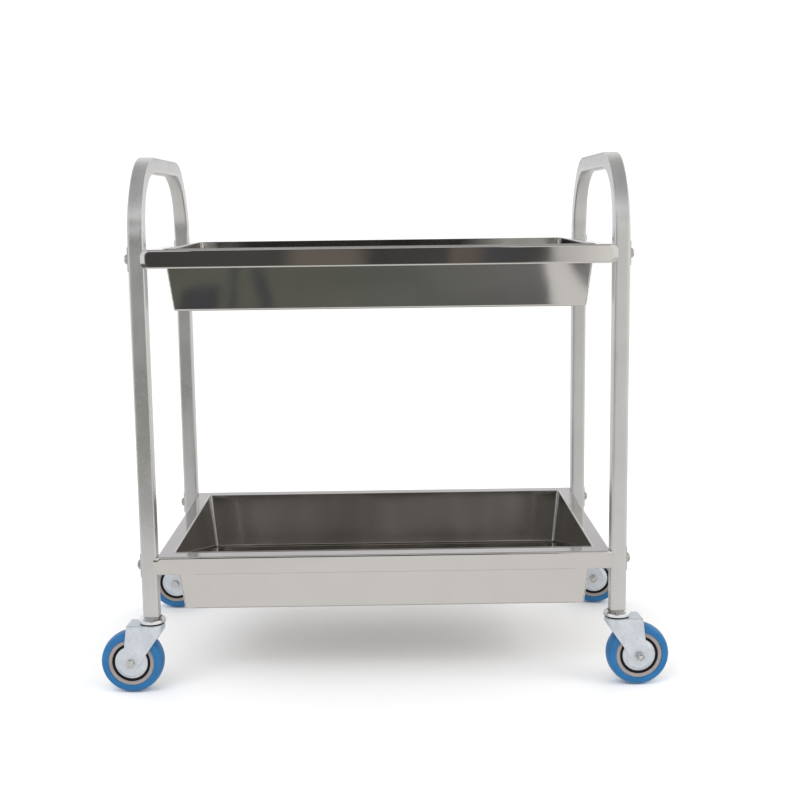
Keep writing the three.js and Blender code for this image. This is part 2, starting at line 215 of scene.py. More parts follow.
def tube_steel():
    """Satin stainless tube, brushed along its length, with faint cloudy handling marks."""
    finish = Finish("tube_steel", Metallic=0.85)
    clouds = finish.noise(9.0, detail=5.0)
    brushed = finish.noise(60.0, stretch=(6, 6, 0.2), detail=2.0)
    across = finish.noise(60.0, stretch=(6, 0.2, 6), detail=2.0)
    height = finish.math("ADD", brushed, across)
    tone = finish.math("ADD", finish.math("MULTIPLY", clouds, 0.7),
                       finish.math("MULTIPLY", height, 0.15))
    finish.colour(finish.mix(finish.map(tone, 0.35, 0.65), (0.565, 0.56, 0.55), (0.655, 0.65, 0.64)))
    finish.roughness(finish.map(clouds, 0.3, 0.7, 0.24, 0.36))
    finish.normal(finish.bump(height, 0.000004))
    return finish.material


def tray_steel():
    """Bright polished sheet: nearly a mirror, a little wavy, with fine polishing lines."""
    finish = Finish("tray_steel", Metallic=1.0)
    waves = finish.noise(5.0, detail=2.0, rough=0.4)
    lines = finish.noise(40.0, stretch=(0.5, 12, 12), detail=3.0)
    smudges = finish.noise(16.0, detail=6.0, rough=0.6)
    finish.colour(finish.mix(smudges, (0.60, 0.58, 0.56), (0.665, 0.645, 0.625)))
    finish.roughness(finish.map(smudges, 0.3, 0.7, 0.03, 0.07))
    wavy = finish.bump(waves, 0.0009)
    finish.normal(finish.bump(lines, 0.000006, wavy))
    return finish.material


def pan_steel_shaded():
    """Inside of the deep pans: the same sheet, streaked from the pressing and painted darker as shade
    inside the pan.
    """
    finish = Finish("pan_steel_shaded", Metallic=1.0)
    streaks = finish.noise(9.0, stretch=(1, 1, 0.12), detail=3.0, rough=0.5, distortion=0.4)
    waves = finish.noise(6.0, detail=2.0, rough=0.4)
    smudges = finish.noise(16.0, detail=6.0, rough=0.6)
    tone = finish.math("ADD", finish.math("MULTIPLY", streaks, 0.6),
                       finish.math("MULTIPLY", waves, 0.4))
    # The dark base tones are painted shade inside the pan; the streaks and waves are the sheet's own.
    finish.colour(finish.mix(finish.map(tone, 0.38, 0.62), (0.31, 0.298, 0.277), (0.43, 0.405, 0.375)))
    finish.roughness(finish.map(smudges, 0.3, 0.7, 0.07, 0.14))
    finish.normal(finish.bump(waves, 0.0007))
    return finish.material


def weld_steel():
    """A ground and brushed weld: brighter and duller than the sheet beside it."""
    finish = Finish("weld_steel", Metallic=0.7)
    ripple = finish.noise(300.0, stretch=(1, 1, 2), detail=3.0)
    finish.colour(finish.mix(ripple, (0.70, 0.70, 0.69), (0.90, 0.90, 0.89)))
    finish.roughness(finish.map(ripple, 0.3, 0.7, 0.30, 0.45))
    finish.normal(finish.bump(ripple, 0.00008))
    return finish.material


def zinc_steel():
    """Bright zinc plating, a little milky and mottled, bluish white."""
    finish = Finish("zinc_steel", Metallic=0.7)
    mottle = finish.noise(260.0, detail=5.0, rough=0.65)
    clouds = finish.noise(55.0, detail=4.0)
    tone = finish.math("ADD", finish.math("MULTIPLY", mottle, 0.5),
                       finish.math("MULTIPLY", clouds, 0.5))
    finish.colour(finish.mix(finish.map(tone, 0.35, 0.65), (0.53, 0.575, 0.62), (0.69, 0.73, 0.77)))
    finish.roughness(finish.map(mottle, 0.3, 0.7, 0.28, 0.42))
    finish.normal(finish.bump(mottle, 0.00003))
    return finish.material


def chrome():
    """Chrome plating with very fine turning marks and faint haze."""
    finish = Finish("chrome", Metallic=1.0)
    haze = finish.noise(120.0, detail=4.0)
    finish.colour(finish.mix(haze, (0.76, 0.77, 0.78), (0.90, 0.90, 0.91)))
    finish.roughness(finish.map(haze, 0.3, 0.7, 0.07, 0.16))
    finish.normal(finish.bump(finish.noise(300.0, stretch=(1, 1, 8)), 0.00001))
    return finish.material


def bolt_steel(name, low, high):
    """Fastener steel between two tones, with a grey bloom and small nicks."""
    finish = Finish(name, Metallic=0.9)
    bloom = finish.noise(180.0, detail=6.0, rough=0.7)
    finish.colour(finish.mix(finish.map(bloom, 0.35, 0.65), low, high))
    finish.roughness(finish.map(bloom, 0.3, 0.7, 0.18, 0.36))
    finish.normal(finish.bump(bloom, 0.00004))
    return finish.material


def tyre_rubber():
    """Blue elastic rubber: satin, with a fine moulded grain and a slightly dusty tone."""
    finish = Finish("tyre_rubber", Metallic=0.0, Specular_IOR_Level=0.45)
    grain = finish.noise(900.0, detail=3.0)
    tone = finish.noise(45.0, detail=5.0)
    finish.colour(finish.mix(finish.map(tone, 0.3, 0.7), (0.003, 0.108, 0.280), (0.006, 0.140, 0.350)))
    finish.roughness(finish.map(grain, 0.3, 0.7, 0.38, 0.52))
    finish.normal(finish.bump(grain, 0.00003))
    return finish.material


def core_plastic():
    """Warm grey moulded plastic with a fine matt grain."""
    finish = Finish("core_plastic", Metallic=0.0)
    grain = finish.noise(700.0, detail=4.0)
    tone = finish.noise(60.0, detail=4.0)
    finish.colour(finish.mix(finish.map(tone, 0.3, 0.7), (0.25, 0.222, 0.215), (0.31, 0.272, 0.265)))
    finish.roughness(finish.map(grain, 0.3, 0.7, 0.5, 0.65))
    finish.normal(finish.bump(grain, 0.00003))
    return finish.material


def gap_shade_black():
    """Near-black painted shade: the dark of the wheel's recess behind the dust cover and of the gap
    between fork and bearing cup.
    """
    finish = Finish("gap_shade_black", Metallic=0.0, Specular_IOR_Level=0.2)
    grain = finish.noise(400.0, detail=4.0)
    finish.colour(finish.mix(grain, (0.003, 0.003, 0.003), (0.009, 0.009, 0.010)))
    finish.roughness(finish.map(grain, 0.3, 0.7, 0.55, 0.75))
    return finish.material


# ---------------------------------------------------------------- mesh tools
def loft(rings, endless=False):
    """A closed skin through rings of equally many points, either endless or closed flat."""
    count = len(rings[0])
    points = [point for ring in rings for point in ring]
    faces = []
    for i in range(len(rings) if endless else len(rings) - 1):
        a, b = i * count, (i + 1) % len(rings) * count
        for k in range(count):
            after = (k + 1) % count
            faces.append((a + k, a + after, b + after, b + k))
    if not endless:
        last = (len(rings) - 1) * count
        faces.append(tuple(reversed(range(count))))
        faces.append(tuple(range(last, last + count)))
    return points, faces


def turned(profile, segments=64, axis="Z"):
    """A lathe skin from a profile of (radius, height) points, about Z, or about Y or X."""
    rings = []
    for radius, height in profile:
        ring = []
        for k in range(segments):
            angle = 2 * math.pi * (k + 0.5) / segments
            u, v = radius * math.cos(angle), radius * math.sin(angle)
            ring.append({"Z": (u, v, height), "Y": (u, height, v), "X": (height, u, v)}[axis])
        rings.append(ring)
    ends_open = profile[0][0] > 0 and profile[-1][0] > 0
    return loft(rings, endless=ends_open)


def arc(centre, radius, first, last, steps):
    """Points of a flat arc; angles in degrees."""
    angles = [math.radians(first + (last - first) * s / steps) for s in range(steps + 1)]
    return [(centre[0] + radius * math.cos(a), centre[1] + radius * math.sin(a)) for a in angles]


def curve(start, corner, end, steps):
    """Points of a smooth bend from start to end that leaves and arrives aimed at the corner."""
    found = []
    for s in range(steps + 1):
        t = s / steps
        weights = ((1 - t) ** 2, 2 * t * (1 - t), t * t)
        found.append(tuple(sum(w * p[i] for w, p in zip(weights, (start, corner, end)))
                           for i in range(len(start))))
    return found


def rounded(half_x, half_y, radius, steps=6, flat=1):
    """Points round a rectangle with round corners, each side in flat equal parts."""
    corners = []
    for k, (sx, sy) in enumerate(((1, 1), (-1, 1), (-1, -1), (1, -1))):
        centre = (sx * (half_x - radius), sy * (half_y - radius))
        corners.append(arc(centre, radius, 90 * k, 90 * (k + 1), steps))
    points = []
    for k, corner in enumerate(corners):
        start, end = corner[-1], corners[(k + 1) % 4][0]
        points += corner
        for s in range(1, flat):
            points.append(tuple(a + (b - a) * s / flat for a, b in zip(start, end)))
    return points


def prism(outline, low, high, axis="Z"):
    """A flat outline pulled from low to high along an axis."""
    def at(u, v, height):
        return {"Z": (u, v, height), "Y": (u, height, v), "X": (height, u, v)}[axis]
    return loft([[at(u, v, height) for u, v in outline] for height in (low, high)])


def moved(shell, matrix):
    points, faces = shell
    return [matrix @ Vector(p) for p in points], faces


def mesh_of(name, shells):
    """One mesh from closed shells of (points, faces) or (points, faces, material index)."""
    mesh = bpy.data.meshes.new(name)
    edit = bmesh.new()
    for points, faces, *index in shells:
        verts = [edit.verts.new(p) for p in points]
        made = []
        for face in faces:
            made.append(edit.faces.new([verts[i] for i in face]))
            made[-1].material_index = index[0] if index else 0
        bmesh.ops.remove_doubles(edit, verts=verts, dist=1e-7)
    bmesh.ops.recalc_face_normals(edit, faces=edit.faces)
    edit.to_mesh(mesh)
    edit.free()
    return mesh


def object_of(name, shells):
    made = bpy.data.objects.new(name, mesh_of(name, shells))
    bpy.context.scene.collection.objects.link(made)
    return made


def baked(made):
    """Turns an object's modifiers into its mesh."""
    graph = bpy.context.evaluated_depsgraph_get()
    mesh = bpy.data.meshes.new_from_object(made.evaluated_get(graph))
    made.modifiers.clear()
    made.data = mesh


def carved(made, tool_shells, operation="DIFFERENCE"):
    """Cuts the shells out of an object, or keeps only what lies in them."""
    tool = object_of(made.name + "_tool", tool_shells)
    modifier = made.modifiers.new("carve", "BOOLEAN")
    modifier.operation = operation
    modifier.solver = "EXACT"
    modifier.object = tool
    baked(made)
    bpy.data.objects.remove(tool)


def finished(made, node, body, materials, edge=0.0, sharp=32):
    """Gives a piece its materials, edges and shading, and its place in the frame."""
    for material in materials:
        made.data.materials.append(material)
    if edge:
        bevel = made.modifiers.new("edge", "BEVEL")
        bevel.width = edge
        bevel.segments = 2
        bevel.limit_method = "ANGLE"
        bevel.angle_limit = math.radians(sharp)
        bevel.use_clamp_overlap = True
        baked(made)
    made.data.shade_smooth()
    made.data.set_sharp_from_angle(angle=math.radians(sharp))
    weighted = made.modifiers.new("shading", "WEIGHTED_NORMAL")
    weighted.keep_sharp = True
    weighted.weight = 80
    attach(made, body)
    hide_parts(node)
    return made


def middle(node):
    low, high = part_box(node)
    return (low + high) / 2


# ---------------------------------------------------------------- side frames
def side_frame(name, side):
    """A square tube bent into an upside-down U, drawn in and a little wrinkled in each bend."""
    low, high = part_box(f"{name}_side_frame")
    half = (high.x - low.x) / 2
    leg_x, leg_y = (low.x + high.x) / 2, high.y - half
    bend = BEND_RADIUS - half
    stations = [(-leg_y, low.z, 0.0)]
    for centre_y, first in ((-leg_y + bend, 0), (leg_y - bend, 1)):
        for s in range(BEND_STEPS + 1):
            angle = (first + s / BEND_STEPS) * math.pi / 2
            y = centre_y - bend * math.cos(angle)
            stations.append((y, high.z - half - bend + bend * math.sin(angle), angle))
    stations.append((leg_y, low.z, math.pi))

    def ring(station, size, corner):
        y, z, angle = station
        bent = math.sin(2 * angle) ** 2
        ripple = BEND_RIPPLE * bent * math.sin(16 * angle)
        points = []
        for x, out in rounded(size, size, corner, steps=4, flat=6):
            crown = max(0.0, 1 - (x / size) ** 2)
            x *= 1 - BEND_WAIST * bent / size
            out -= crown * bent * (BEND_DIMPLE if out > 0 else 0.0) + (ripple if out < 0 else 0.0)
            points.append((leg_x - x, y - out * math.cos(angle), z + out * math.sin(angle)))
        return points

    outer = [ring(station, half, TUBE_CORNER) for station in stations]
    inner = [ring(station, half - TUBE_WALL, TUBE_CORNER - TUBE_WALL) for station in stations]
    made = object_of(f"{name}_frame_tube", [loft(outer + inner[::-1], endless=True)])
    holes = []
    for end in (-1, 1):
        for level in ("upper", "lower"):
            z = middle(f"{level}_front_left_bolt").z
            rod = turned([(0, low.x - 0.001), (BOLT_HOLE, low.x - 0.001), (BOLT_HOLE, high.x + 0.001),
                          (0, high.x + 0.001)], 24, "X")
            holes.append(moved(rod, Matrix.Translation((0, end * leg_y, z))))
        vent_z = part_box("upper_tray")[1].z - LIP + VENT_ABOVE_RIM
        face = low.x if side > 0 else high.x
        vent = turned([(0, face - 0.003), (VENT_HOLE, face - 0.003), (VENT_HOLE, face + 0.003),
                       (0, face + 0.003)], 24, "X")
        holes.append(moved(vent, Matrix.Translation((0, end * leg_y, vent_z))))
    carved(made, holes)
    finished(made, f"{name}_side_frame", "cart", [TUBE_STEEL])


# ---------------------------------------------------------------- trays
def tray(level):
    """A folded and welded tray: leaning pan, flange with a lip bead, and a hemmed rim."""
    node = f"{level}_tray"
    low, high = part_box(node)
    rim, floor, foot = high.z - LIP, low.z, high.z - LIP - RIM
    skirt_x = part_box("right_side_frame")[0].x - GAP
    front = high.y
    skirt_y = front - 0.0005  # the end plates stand before it
    open_x, open_y = skirt_x - SIDE_FLANGE, front - FRONT_FLANGE

    def ring(half_x, half_y, z, corner):
        return [(x, y, z) for x, y in rounded(half_x, half_y, max(corner, 0.0005), steps=6)]

    def pan(outset, z, corner=0.003):
        return ring(open_x + outset, open_y + outset, z, corner)

    def skirt(inset, z, corner=0.006):
        return ring(skirt_x - inset, skirt_y - inset, z, corner - inset)

    inside = floor + SHEET
    rings = [pan(-DRAFT - 0.004, inside, 0.002)]
    rings += [pan(o, z) for o, z in curve((-DRAFT - 0.003, inside), (-DRAFT - 0.0003, inside),
                                          (-DRAFT, inside + 0.003), 4)]
    rings += [pan(0, rim + 0.0002, 0.004)]
    rings += [pan(0.0015 - 0.0013 * math.cos(a), rim + LIP * math.sin(a), 0.005)
              for a in [math.pi * k / 10 for k in range(1, 10)]]
    rings += [pan(0.0031, rim, 0.006)]
    rings += [skirt(-i, z) for i, z in arc((-FOLD, rim - FOLD), FOLD, 90, 0, 5)]
    rings += [skirt(-i, z) for i, z in arc((-SHEET, foot + SHEET), SHEET, 0, -180, 8)]
    rings += [skirt(2 * SHEET, foot + HEM)]
    rings += [skirt(SHEET + 0.0001, foot + HEM + SHEET), skirt(SHEET, rim - FOLD - 0.0002)]
    rings += [skirt(FOLD + 0.0002, rim - SHEET, 0.0062), pan(0.0026, rim - SHEET, 0.006)]
    rings += [pan(SHEET, rim - 2 * SHEET, 0.004)]
    rings += [pan(o, z) for o, z in curve((SHEET - DRAFT, floor + 0.0035), (SHEET - DRAFT, floor),
                                          (SHEET - DRAFT - 0.0035, floor), 4)]
    shells = [loft(rings)]
    for end in (-1, 1):
        shells.append(rim_plate(low.x, high.x, front, rim - GAP, foot, end))
    for corner_x in (-1, 1):
        for corner_y in (-1, 1):
            seam = weld_seam(open_x, open_y, rim, inside, corner_x, corner_y)
            shells.append((*seam, 1))
    made = object_of(f"{level}_tray_sheet", shells)
    # Faces inside the pan take the darker copy of the sheet: painted shade inside the pan.
    for face in made.data.polygons:
        x, y, z = face.center
        within = abs(x) < open_x and abs(y) < open_y and inside - SHEET / 2 < z < rim
        if face.material_index == 0 and within and face.normal.z > 0.05:
            face.material_index = 2
    finished(made, node, "cart", [TRAY_STEEL, WELD_STEEL, PAN_STEEL_SHADED])


def rim_plate(left, right, front, top, foot, end):
    """The front or rear of a tray's rim: one plate with rolled edges that laps over both legs."""
    half_x, half_z = (right - left) / 2, (top - foot) / 2
    mid_z = (top + foot) / 2
    # How far in from the ends and from the long edges, and how far behind the front plane, each
    # ring of the roll lies. The ends curl back over the legs.
    roll = [(0.0, 0.0, 0.0012), (0.0015, 0.0003, 0.00096), (0.0035, 0.0008, 0.00062),
            (0.0056, 0.0015, 0.00027), (0.0070, 0.0022, 0.00008), (0.0084, 0.0032, 0.0)]
    rings = []
    for inset_x, inset_z, behind in roll:
        outline = rounded(half_x - inset_x, half_z - inset_z, TAB_CORNER - inset_z, steps=10)
        rings.append([(x, end * (front - behind), mid_z + z) for x, z in outline])
    # The flat back stands a hair behind the outermost ring.
    back = front - roll[0][2] - 0.0001
    outline = rounded(half_x, half_z, TAB_CORNER, steps=10)
    rings.insert(0, [(x, end * back, mid_z + z) for x, z in outline])
    return loft(rings)


def weld_seam(open_x, open_y, rim, inside, side_x, side_y):
    """A polished weld bead up the inside corner of the pan."""
    lean = Vector((-side_x, -side_y)).normalized()
    rings = []
    steps = 24
    for s in range(steps + 1):
        t = s / steps
        outset = -DRAFT * (1 - t)
        inset = 0.0011  # the bead's middle lies just inside the round corner
        x = side_x * (open_x + outset) + lean.x * inset
        y = side_y * (open_y + outset) + lean.y * inset
        z = inside + 0.001 + (rim - 0.0005 - inside - 0.001) * t
        radius = WELD_RADIUS * (1 + 0.10 * math.sin(s * 2.4))
        ring = []
        for k in range(10):
            angle = 2 * math.pi * k / 10
            ring.append((x + radius * math.cos(angle), y + radius * math.sin(angle), z))
        rings.append(ring)
    return loft(rings)


# ---------------------------------------------------------------- fasteners
def hexagon_shell(corner, low, high, bore, axis):
    """A hexagon bar end or nut with chamfered corners, along an axis; bore 0 closes it."""
    flat = corner * math.cos(math.pi / 6)
    chamfer = (corner - flat) * 0.62
    heights = [(low, flat * 0.97), (low + chamfer, corner), (high - chamfer, corner),
               (high, flat * 0.97)]
    rings = []
    for height, limit in heights:
        ring = []
        for k in range(72):
            angle = 2 * math.pi * k / 72
            side = flat / math.cos((angle % (math.pi / 3)) - math.pi / 6)
            ring.append((min(side, limit), angle, height))
        rings.append(ring)
    if bore:
        edge = 0.0004
        for height, radius in ((high, bore + edge), (high - edge, bore), (low + edge, bore),
                               (low, bore + edge)):
            rings.append([(radius, 2 * math.pi * k / 72, height) for k in range(72)])
    shaped = []
    for ring in rings:
        points = []
        for radius, angle, height in ring:
            u, v = radius * math.cos(angle), radius * math.sin(angle)
            points.append({"X": (height, u, v), "Y": (u, height, v)}[axis])
        shaped.append(points)
    return loft(shaped, endless=bool(bore))


def thread(radius, start, end, pitch=0.00125):
    """Profile points of a cut thread from start to end, with a chamfered tip at the end."""
    direction = 1 if end > start else -1
    turns = int(abs(end - start) / pitch)
    points = []
    for turn in range(turns):
        at = start + direction * turn * pitch
        points += [(radius, at + direction * 0.1 * pitch),
                   (radius - THREAD_DEPTH, at + direction * 0.5 * pitch),
                   (radius, at + direction * 0.9 * pitch)]
    return points + [(radius - 0.0008, end), (0, end)]


def tray_fasteners(level, corner):
    """The bolt, saddle plate and nut of one tray corner, along X through the leg."""
    name = f"{level}_{corner}"
    centre = middle(f"{name}_bolt")
    place = Matrix.Translation((0, centre.y, centre.z))
    if CORNERS[corner] < 0:
        place = place @ Matrix.Rotation(math.pi, 4, "Z")

    def span(node):
        low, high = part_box(node)
        return sorted((abs(low.x), abs(high.x)))

    inner, tip = span(f"{name}_bolt")
    plate_low, plate_high = span(f"{name}_saddle_plate")
    nut_low, nut_high = span(f"{name}_nut")
    seat = plate_high + 0.00005
    head = tip - seat
    profile = [(0, seat), (0.0074, seat), (0.0079, seat + 0.0003), (0.008, seat + 0.0012)]
    profile += [(0.0079 * math.cos(a), seat + 0.0014 + (head - 0.0014) * math.sin(a))
                for a in [math.radians(8 * k) for k in range(1, 11)]]
    profile += [(0, tip)]
    shank = [(0, seat + 0.001), (AXLE_RADIUS, seat + 0.001), (AXLE_RADIUS, nut_high + 0.002)]
    shank += thread(AXLE_RADIUS, nut_high + 0.002, inner)
    bolt = object_of(f"{name}_dome_bolt", [moved(turned(profile, 48, "X"), place),
                                           moved(turned(shank, 32, "X"), place)])
    finished(bolt, f"{name}_bolt", "cart", [BOLT_STEEL])

    _, plate_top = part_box(f"{name}_saddle_plate")
    half_y, half_z = plate_top.y - centre.y, plate_top.z - centre.z
    rings = []
    for inset, x in ((0.0, plate_low), (0.0, plate_high - 0.0007), (0.0002, plate_high - 0.0002),
                     (0.0008, plate_high)):
        rings.append([(x, y, z) for y, z in rounded(half_y - inset, half_z - inset, 0.0025, steps=5)])
    plate = object_of(f"{name}_washer_plate", [moved(loft(rings), place)])
    bore = turned([(0, plate_low - 0.001), (BOLT_HOLE, plate_low - 0.001),
                   (BOLT_HOLE, plate_high + 0.001), (0, plate_high + 0.001)], 24, "X")
    carved(plate, [moved(bore, place)])
    finished(plate, f"{name}_saddle_plate", "cart", [TUBE_STEEL])

    corner_radius = (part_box(f"{name}_nut")[1].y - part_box(f"{name}_nut")[0].y) / 2
    shell = hexagon_shell(corner_radius, nut_low, nut_high, BOLT_HOLE, "X")
    nut = object_of(f"{name}_hex_nut", [moved(shell, place)])
    finished(nut, f"{name}_nut", "cart", [BOLT_STEEL])


# ---------------------------------------------------------------- castors
def swivel_head(name, place, foot, top):
    """Chrome bearing cup with its cone, the riveted kingpin below and the plug in the leg."""
    low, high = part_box(f"{name}_swivel_head")
    cup_foot = top + 0.0025
    rivet_top = top - FORK_SHEET - GAP
    cup = [(0, low.z), (RIVET_RADIUS - 0.0015, low.z), (RIVET_RADIUS, low.z + 0.0012),
           (RIVET_RADIUS, rivet_top - 0.0005), (RIVET_RADIUS - 0.0004, rivet_top),
           (STEM_RADIUS, rivet_top), (STEM_RADIUS, cup_foot)]
    cup += arc((CUP_RADIUS - 0.0012, cup_foot + 0.0012), 0.0012, -90, 0, 5)
    cup += arc((CUP_RADIUS - 0.0022, cup_foot + CUP_SHOULDER - 0.0010), 0.0022, 0, 50, 6)
    cup += curve((0.0165, foot - 0.0018), (0.0140, foot - 0.0003), (0.0135, foot - 0.0001), 4)
    cup += [(0, foot - 0.0001)]
    plug = [[(x, y, z) for x, y in rounded(PLUG_HALF - inset, PLUG_HALF - inset, 0.002, steps=4)]
            for z, inset in ((foot - 0.002, 0), (high.z - 0.001, 0), (high.z, 0.001))]
    made = object_of(f"{name}_bearing_cup", [moved(turned(cup, 72), place), moved(loft(plug), place)])
    finished(made, f"{name}_swivel_head", "cart", [CHROME])


def channel_ring(inset, z, back):
    """One level of the fork's channel from above: open at the back, round at the front."""
    radius = FORK_HALF - inset
    front = [(radius * math.cos(a), radius * math.sin(a), z)
             for a in [math.pi / 2 + math.pi * s / 36 for s in range(37)]]
    return [(back, -radius, z), (back, radius, z)] + front


def fork_outline(top, axle_x, axle_z):
    """Side view of the fork: cheeks that narrow down to a round tip about the axle."""
    back_top = (FORK_BACK, top)
    front_low = (-FORK_HALF - 0.001, top - FORK_FRONT_DEPTH)

    def touch(point, turn):
        x, z = point[0] - axle_x, point[1] - axle_z
        return math.atan2(z, x) % (2 * math.pi) + turn * math.acos(FORK_TIP / math.hypot(x, z))

    first, last = touch(front_low, 1), touch(back_top, -1) + 2 * math.pi
    tip = arc((axle_x, axle_z), FORK_TIP, math.degrees(first), math.degrees(last), 28)
    above = top + 0.001
    return [front_low] + tip + [back_top, (FORK_BACK, above), (-FORK_HALF - 0.001, above)]


def fork(name, body, place, top, axle_x, axle_z):
    """Pressed zinc-plated fork: a channel with round folds, cut to the side view of its cheeks."""
    low = axle_z - FORK_TIP - 0.002
    beyond = FORK_BACK + 0.020
    fold = [(inset, z) for z, inset in
            ((top - FORK_FOLD + z, FORK_FOLD - o) for o, z in arc((0, 0), FORK_FOLD, 0, 90, 6))]
    outside = [channel_ring(0, low, beyond)] + [channel_ring(i, z, beyond) for i, z in fold]
    inner_top = top - FORK_SHEET
    inside = [channel_ring(FORK_SHEET, low - 0.001, beyond + 0.001),
              channel_ring(FORK_SHEET, inner_top - 0.001, beyond + 0.001),
              channel_ring(FORK_SHEET + 0.001, inner_top, beyond + 0.001)]
    made = object_of(f"{name}_fork_sheet", [loft(outside)])
    carved(made, [loft(inside)])
    side_view = prism(fork_outline(top, axle_x, axle_z), -FORK_HALF - 0.001, FORK_HALF + 0.001, "Y")
    carved(made, [side_view], "INTERSECT")
    axle_hole = turned([(0, -0.03), (BOLT_HOLE, -0.03), (BOLT_HOLE, 0.03), (0, 0.03)], 32, "Y")
    pin_hole = turned([(0, top - 0.01), (STEM_RADIUS + GAP, top - 0.01),
                       (STEM_RADIUS + GAP, top + 0.01), (0, top + 0.01)], 32)
    carved(made, [moved(axle_hole, Matrix.Translation((axle_x, 0, axle_z))), pin_hole])
    # The race ring takes the near-black material: painted shade in the gap between the fork and the
    # bearing cup.
    race = turned([(STEM_RADIUS + GAP, top - 0.0005), (RACE_RADIUS, top - 0.0005),
                   (RACE_RADIUS, top + 0.0018), (RACE_RADIUS - 0.0004, top + 0.0022),
                   (STEM_RADIUS + GAP, top + 0.0022)], 64)
    join(made, race, 1)
    made.data.transform(place)
    finished(made, f"{name}_fork", body, [ZINC_STEEL, GAP_SHADE_BLACK], edge=0.0004)


def join(made, shell, index):
    """Adds one more closed shell to an object's mesh."""
    extra = mesh_of("extra", [(*shell, index)])
    edit = bmesh.new()
    edit.from_mesh(made.data)
    edit.from_mesh(extra)
    edit.to_mesh(made.data)
    edit.free()
    bpy.data.meshes.remove(extra)


def tyre(name, body, place):
    """Crowned tread with a faint mould line, round shoulders and a bead against the core."""
    bore, radius, width = TYRE_BORE, TYRE_RADIUS, TYRE_HALF
    shoulder = (radius - 0.0012, SHOULDER_HALF)
    half = [(bore, width - 0.0010), (bore + 0.0005, width - 0.0003), (bore + 0.0017, width)]
    half += [(radius - 0.0075, width), (radius - 0.0072, width - 0.0003),
             (radius - 0.0068, width - 0.0001)]  # the groove of the mould line
    half += curve((radius - 0.0060, width - 0.0001), (radius - 0.0022, width - 0.0004), shoulder, 7)
    half += curve(shoulder, (radius - 0.0001, 0.0060), (radius, 0.0006), 5)[1:]
    profile = half + [(r, -h) for r, h in reversed(half)]
    inner = [(bore - 0.0001, 0.0020 - width), (bore - 0.0001, width - 0.0020)]
    made = object_of(f"{name}_tyre_ring", [moved(turned(profile + inner, 120, "Y"), place)])
    finished(made, f"{name}_tyre", body, [TYRE_RUBBER])


def wheel_core(name, body, place):
    """Grey moulded rim round a recess, a hub boss, and a near-black ring in the recess as painted shade.
    """
    ease = 0.0003  # round of the moulded edges
    half = [(CORE_RADIUS, CORE_HALF - 0.0002), (CORE_RADIUS - 0.0002, CORE_HALF),
            (RECESS_RADIUS + 0.0004, CORE_HALF), (RECESS_RADIUS + 0.0001, CORE_HALF - ease),
            (RECESS_RADIUS, RECESS_HALF), (HUB_RADIUS + 0.0002, RECESS_HALF),
            (HUB_RADIUS, RECESS_HALF + ease), (HUB_RADIUS, HUB_HALF - ease),
            (HUB_RADIUS - ease, HUB_HALF), (HUB_BORE, HUB_HALF)]
    profile = half + [(r, -h) for r, h in reversed(half)]
    shells = [moved(turned(profile, 96, "Y"), place)]
    for face in (-1, 1):
        # Near-black ring in each recess: painted shade behind the dust cover.
        recess_shade = [(r, face * (RECESS_HALF + h)) for r, h in
                ((HUB_RADIUS + 0.0010, -ease), (RECESS_RADIUS + 0.0002, -ease),
                 (RECESS_RADIUS - 0.0001, 0.0021), (RECESS_RADIUS - 0.0008, 0.0015),
                 (RECESS_RADIUS - 0.0020, 0.0007), (HUB_RADIUS + 0.0010, 0.0006))]
        shells.append((*moved(turned(recess_shade, 96, "Y"), place), 1))
    made = object_of(f"{name}_hub", shells)
    finished(made, f"{name}_wheel_core", body, [CORE_PLASTIC, GAP_SHADE_BLACK])


def dust_cover(name, letter, face, body, place):
    """Dished zinc cover between fork and wheel, with a rolled rim."""
    bore = HUB_BORE + 0.0001
    # How far in from the rim, and how far behind the flat middle.
    dish = [(0.0074, 0.0), (0.0058, 0.0002), (0.0042, 0.0011), (0.0024, 0.0024), (0.0014, 0.00275),
            (0.0006, 0.00275), (0.0, 0.0032), (0.0, 0.0035), (0.0006, 0.0038), (0.0014, 0.0040),
            (0.0060, COVER_SHEET)]
    profile = [(bore, face * COVER_FACE)]
    profile += [(COVER_RADIUS - inset, face * (COVER_FACE - behind)) for inset, behind in dish]
    profile += [(bore, face * (COVER_FACE - COVER_SHEET))]
    made = object_of(f"{name}_cover_{letter}", [moved(turned(profile, 96, "Y"), place)])
    finished(made, f"{name}_dust_cover_{letter}", body, [ZINC_STEEL])


def axle(name, body, place):
    """The axle's hexagon bolt and the nut on its far end."""
    seat = FORK_HALF + 0.0001
    shank = [(0, seat + 0.001), (AXLE_RADIUS, seat + 0.001), (AXLE_RADIUS, -AXLE_THREAD)]
    shank += thread(AXLE_RADIUS, -AXLE_THREAD, 0.0005 - AXLE_TIP)
    head = hexagon_shell(HEX_RADIUS, seat, seat + AXLE_HEAD, 0, "Y")
    bolt = object_of(f"{name}_axle_screw", [moved(turned(shank, 32, "Y"), place), moved(head, place)])
    finished(bolt, f"{name}_axle_bolt", body, [ZINC_BOLT])
    shell = hexagon_shell(HEX_RADIUS, -seat - AXLE_NUT, -seat, BOLT_HOLE, "Y")
    nut = object_of(f"{name}_axle_hex_nut", [moved(shell, place)])
    finished(nut, f"{name}_axle_nut", body, [ZINC_BOLT])


